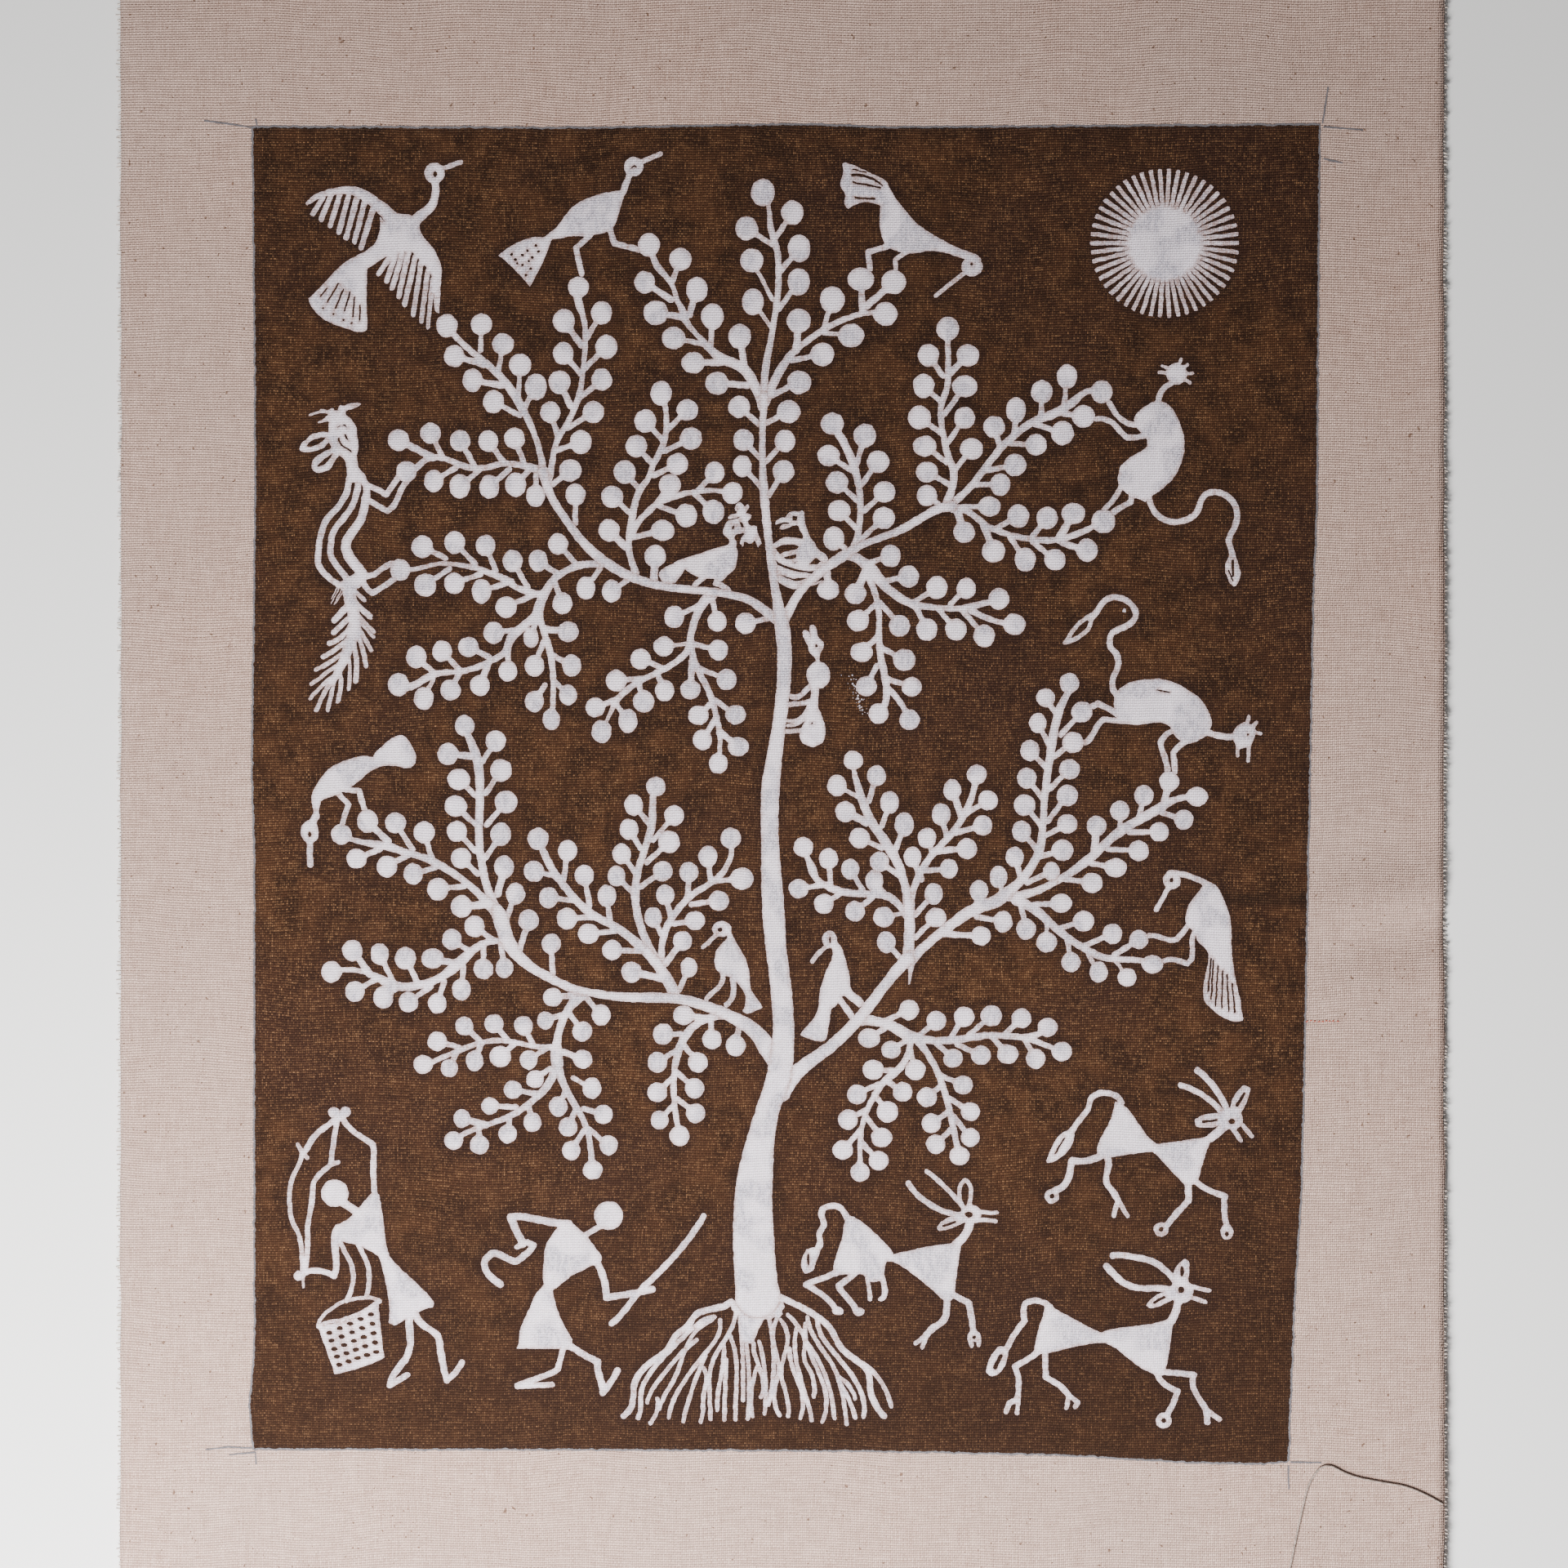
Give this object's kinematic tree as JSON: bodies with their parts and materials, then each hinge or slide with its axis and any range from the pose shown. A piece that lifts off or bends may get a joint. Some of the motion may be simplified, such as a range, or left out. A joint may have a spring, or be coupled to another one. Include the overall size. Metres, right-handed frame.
{
  "type": "painted folk-art cloth",
  "caption": "Unbleached cotton cloth, laid flat, painted with a white tree of life, birds, beasts and people on a brown earth panel.",
  "frame": {"origin": "middle of the cloth's underside, where it lies on a table or wall", "axes": "+X towards the painting's right, +Y towards the painting's top, +Z out of the painted face"},
  "size_m": [0.252, 0.3048, 0.001],
  "materials": {
    "cotton": "matte",
    "thread": "matte",
    "earth": "matte",
    "white_paint": "matte"
  },
  "bodies": {
    "root": {"archer": "white_paint", "basket": "white_paint", "center_left_spray": "white_paint", "cotton_cloth": "cotton", "cow": "white_paint", "crane": "white_paint", "crested_bird": "white_paint", "curled_neck_bird": "white_paint", "drinking_bird": "white_paint", "earth_ground": "earth", "far_antelope": "white_paint", "far_right_upright_spray": "white_paint", "flying_bird": "white_paint", "inner_left_hanging_spray": "white_paint", "inner_upper_left_spray": "white_paint", "kneeling_man": "white_paint", "left_drooping_spray": "white_paint", "left_fork_bird": "white_paint", "left_inner_upright_spray": "white_paint", "left_middle_sprays": "white_paint", "left_trunkside_spray": "white_paint", "left_upper_spray": "white_paint", "long_billed_bird": "white_paint", "loose_thread": "thread", "lower_left_bough": "white_paint", "lower_left_hanging_sprays": "white_paint", "lower_left_level_spray": "white_paint", "lower_left_low_spray": "white_paint", "lower_left_rising_spray": "white_paint", "lower_left_upright_spray": "white_paint", "lower_right_bough": "white_paint", "lower_right_hanging_sprays": "white_paint", "lower_right_outer_sprays": "white_paint", "lower_right_rising_spray": "white_paint", "lower_right_tall_spray": "white_paint", "monkey": "white_paint", "near_antelope": "white_paint", "outer_upper_left_spray": "white_paint", "right_drooping_sprays": "white_paint", "right_fork_bird": "white_paint", "right_inner_upright_spray": "white_paint", "right_middle_spray": "white_paint", "right_slanting_spray": "white_paint", "right_trunkside_spray": "white_paint", "right_upright_spray": "white_paint", "roots": "white_paint", "spiny_headed_beast": "white_paint", "striped_bird": "white_paint", "striped_squirrel": "white_paint", "sun": "white_paint", "top_left_spray": "white_paint", "top_right_spray": "white_paint", "treetop_leader": "white_paint", "trunk": "white_paint", "trunk_hare": "white_paint", "upper_left_bough": "white_paint", "upper_right_bough": "white_paint"}
  },
  "joints": []
}
